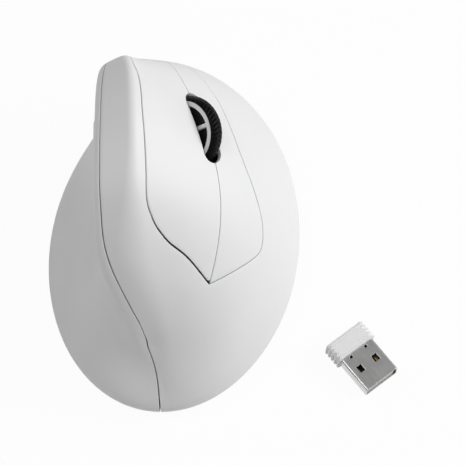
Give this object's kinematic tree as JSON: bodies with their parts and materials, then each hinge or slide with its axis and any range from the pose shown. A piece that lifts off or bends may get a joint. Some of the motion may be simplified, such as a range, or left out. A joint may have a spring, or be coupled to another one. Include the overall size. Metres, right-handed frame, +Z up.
{
  "type": "vertical ergonomic mouse",
  "caption": "Right-handed vertical computer mouse with a slanted key face, spoked scroll wheel, thumb hollow and side buttons, with its plug-in wireless receiver beside it.",
  "frame": {"origin": "on the desk plane under the middle of the base ring, on the sliding face of the ring-shaped glide foot", "axes": "+Z up from the desk, +Y forward along the fingers, +X to the right, the side the keys face"},
  "size_m": [0.105, 0.1056, 0.0682],
  "materials": {
    "white_plastic": "fine matte",
    "pale_plastic": "satin",
    "black_plastic": "satin",
    "dark_plastic": "matte",
    "rubber": "fine knurl",
    "steel": "brushed",
    "board": "solder mask",
    "red_plastic": "satin",
    "lens": "clear moulding",
    "foot": "slippery",
    "cell": "printed sleeve",
    "gold": "plated"
  },
  "bodies": {
    "housing": {"base_plate": "white_plastic", "thumb_shell": "white_plastic", "palm_shell": "white_plastic", "receiver_cap": "white_plastic", "receiver_tongue": "white_plastic", "key_frame": "pale_plastic", "left_switch": "black_plastic", "right_switch": "black_plastic", "middle_switch": "black_plastic", "forward_switch": "black_plastic", "back_switch": "black_plastic", "sensor_chip": "black_plastic", "power_switch": "dark_plastic", "base_screws": "steel", "key_pivot_pin": "steel", "cradle_pin": "steel", "battery_contacts": "steel", "receiver_shell": "steel", "button_board": "board", "thumb_board": "board", "main_board": "board", "sensor_lens": "lens", "glide_feet": "foot", "battery_cell": "cell", "receiver_contacts": "gold"},
    "left_key": {"left_button": "white_plastic"},
    "right_key": {"right_button": "white_plastic"},
    "cradle": {"wheel_cradle": "dark_plastic", "wheel_encoder": "dark_plastic"},
    "wheel": {"wheel_tyre": "rubber", "wheel_rim": "pale_plastic", "wheel_core": "black_plastic", "wheel_axle": "steel"},
    "forward_thumb_button": {"forward_button": "white_plastic"},
    "back_thumb_button": {"back_button": "white_plastic"},
    "left_switch_plunger": {"left_plunger": "red_plastic"},
    "right_switch_plunger": {"right_plunger": "red_plastic"},
    "middle_switch_plunger": {"middle_plunger": "red_plastic"},
    "forward_switch_plunger": {"forward_plunger": "red_plastic"},
    "back_switch_plunger": {"back_plunger": "red_plastic"},
    "power_knob": {"power_slider": "black_plastic"},
    "door": {"battery_door": "white_plastic"}
  },
  "joints": [
    {"name": "left_click", "type": "hinge", "parent": "housing", "child": "left_key", "pos_m": [0.0015, -0.013, 0.03986], "axis": [-0.6947, 0, 0.7193], "range_deg": [0, 1], "stiffness_Nm_per_rad": 2.2, "springref_deg": -0.86},
    {"name": "right_click", "type": "hinge", "parent": "housing", "child": "right_key", "pos_m": [0.0015, -0.013, 0.03986], "axis": [-0.6947, 0, 0.7193], "range_deg": [0, 1], "stiffness_Nm_per_rad": 2.2, "springref_deg": -0.86},
    {"name": "wheel_press", "type": "hinge", "parent": "housing", "child": "cradle", "pos_m": [0.00679, 0.00449, 0.04272], "axis": [-0.6441, -0.3746, 0.667], "range_deg": [0, 1.5], "stiffness_Nm_per_rad": 1.5, "springref_deg": -1.15},
    {"name": "wheel_spin", "type": "hinge", "parent": "cradle", "child": "wheel", "pos_m": [0.00541, 0.0184, 0.0492], "axis": [0.6441, 0.3746, -0.667], "continuous": true},
    {"name": "forward_press", "type": "slide", "parent": "housing", "child": "forward_thumb_button", "axis": [1, 0, 0], "range_m": [0, 0.0006], "stiffness_N_per_m": 1500, "springref_m": -0.0004},
    {"name": "back_press", "type": "slide", "parent": "housing", "child": "back_thumb_button", "axis": [1, 0, 0], "range_m": [0, 0.0006], "stiffness_N_per_m": 1500, "springref_m": -0.0004},
    {"name": "left_plunger_slide", "type": "slide", "parent": "housing", "child": "left_switch_plunger", "axis": [-0.7193, 0, -0.6947], "range_m": [0, 0.00033]},
    {"name": "right_plunger_slide", "type": "slide", "parent": "housing", "child": "right_switch_plunger", "axis": [-0.7193, 0, -0.6947], "range_m": [0, 0.0003]},
    {"name": "middle_plunger_slide", "type": "slide", "parent": "housing", "child": "middle_switch_plunger", "axis": [-0.7193, 0, -0.6947], "range_m": [0, 0.0008]},
    {"name": "forward_plunger_slide", "type": "slide", "parent": "housing", "child": "forward_switch_plunger", "axis": [1, 0, 0], "range_m": [0, 0.00062]},
    {"name": "back_plunger_slide", "type": "slide", "parent": "housing", "child": "back_switch_plunger", "axis": [1, 0, 0], "range_m": [0, 0.00062]},
    {"name": "power_slide", "type": "slide", "parent": "housing", "child": "power_knob", "axis": [0, 1, 0], "range_m": [0, 0.003]},
    {"name": "door_slide", "type": "slide", "parent": "housing", "child": "door", "axis": [0, -1, 0], "range_m": [0, 0.004]}
  ],
  "couplings": [
    {"joint": "left_plunger_slide", "follows": "left_click", "m_per_rad": 0.018},
    {"joint": "right_plunger_slide", "follows": "right_click", "m_per_rad": 0.016},
    {"joint": "middle_plunger_slide", "follows": "wheel_press", "m_per_rad": 0.0294},
    {"joint": "forward_plunger_slide", "follows": "forward_press", "ratio": 1},
    {"joint": "back_plunger_slide", "follows": "back_press", "ratio": 1}
  ]
}
